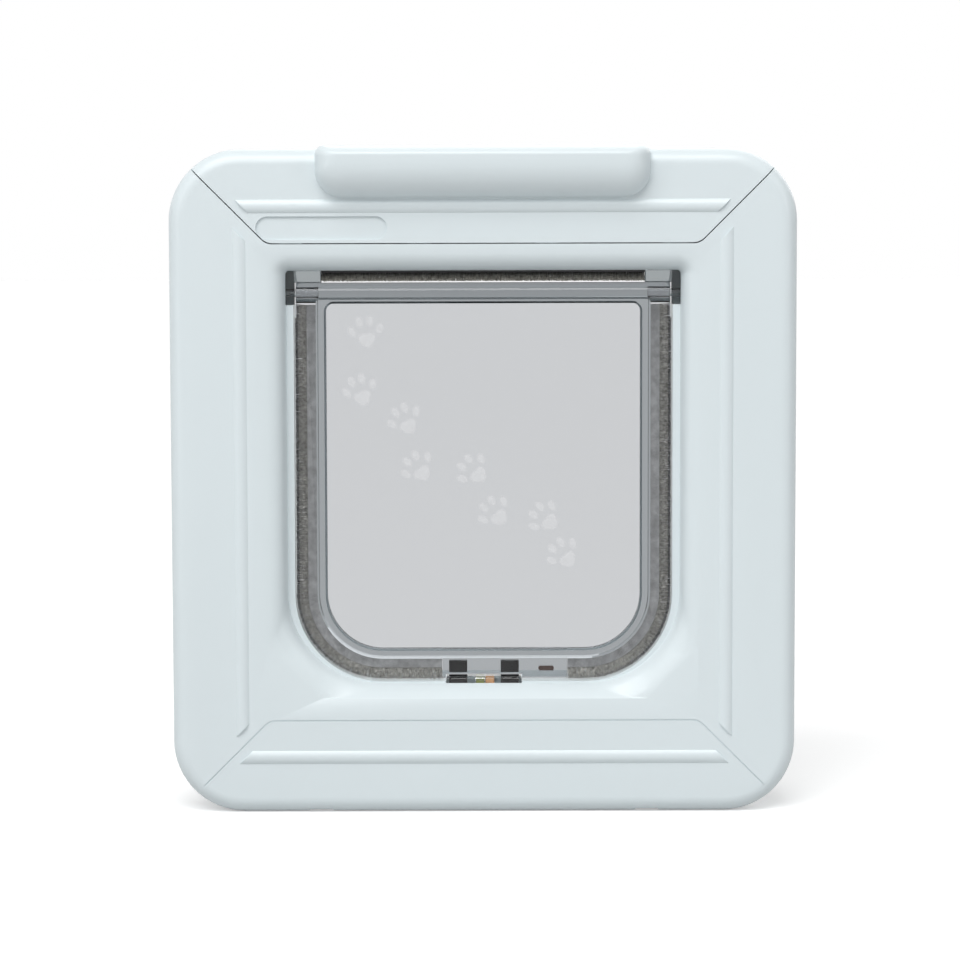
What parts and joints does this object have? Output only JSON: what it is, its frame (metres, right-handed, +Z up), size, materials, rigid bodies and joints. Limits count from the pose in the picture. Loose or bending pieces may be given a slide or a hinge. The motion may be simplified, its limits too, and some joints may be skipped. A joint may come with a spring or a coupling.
{
  "type": "cat flap",
  "caption": "Framed two-way cat flap with a clear swinging door, brush seals, magnetic closing and sill latches, clamped through a house door.",
  "frame": {"origin": "middle of the box, on the surface that the frames stand on", "axes": "+X across the flap, -Y to the outside of the house, +Z up"},
  "size_m": [0.235, 0.076, 0.2513],
  "materials": {
    "white_frame": "satin",
    "clear_flap": "gloss",
    "clear_clip": "gloss",
    "brush_pile": "matte",
    "brush_strip": "matte",
    "magnet": "satin",
    "pin_steel": "brushed",
    "green_tab": "gloss",
    "orange_tab": "gloss"
  },
  "bodies": {
    "frame": {"front_frame": "white_frame", "top_cover": "white_frame", "hinge_clip_left": "clear_clip", "hinge_clip_right": "clear_clip", "top_brush_backing": "brush_strip", "top_brush_pile": "brush_pile", "lock_carrier": "clear_clip", "sill_magnet_left": "magnet", "sill_magnet_right": "magnet", "rear_frame": "white_frame", "rear_sleeve": "white_frame", "clamp_screws": "pin_steel", "screw_caps": "white_frame"},
    "flap": {"flap": "clear_flap", "pivot_pin_left": "clear_clip", "pivot_pin_right": "clear_clip", "flap_brush_backing_left": "brush_strip", "flap_brush_backing_right": "brush_strip", "flap_brush_pile_left": "brush_pile", "flap_brush_pile_right": "brush_pile", "flap_magnet_left": "magnet", "flap_magnet_right": "magnet"},
    "entry_latch": {"entry_latch": "green_tab"},
    "exit_latch": {"exit_latch": "orange_tab"}
  },
  "joints": [
    {"name": "flap_swing", "type": "hinge", "parent": "frame", "child": "flap", "pos_m": [0, -0.0155, 0.196], "axis": [1, 0, 0], "range_deg": [-85, 85]},
    {"name": "entry_latch_slide", "type": "slide", "parent": "frame", "child": "entry_latch", "axis": [0, 0, 1], "range_m": [0, 0.0026]},
    {"name": "exit_latch_slide", "type": "slide", "parent": "frame", "child": "exit_latch", "axis": [0, 0, 1], "range_m": [0, 0.0026]}
  ]
}
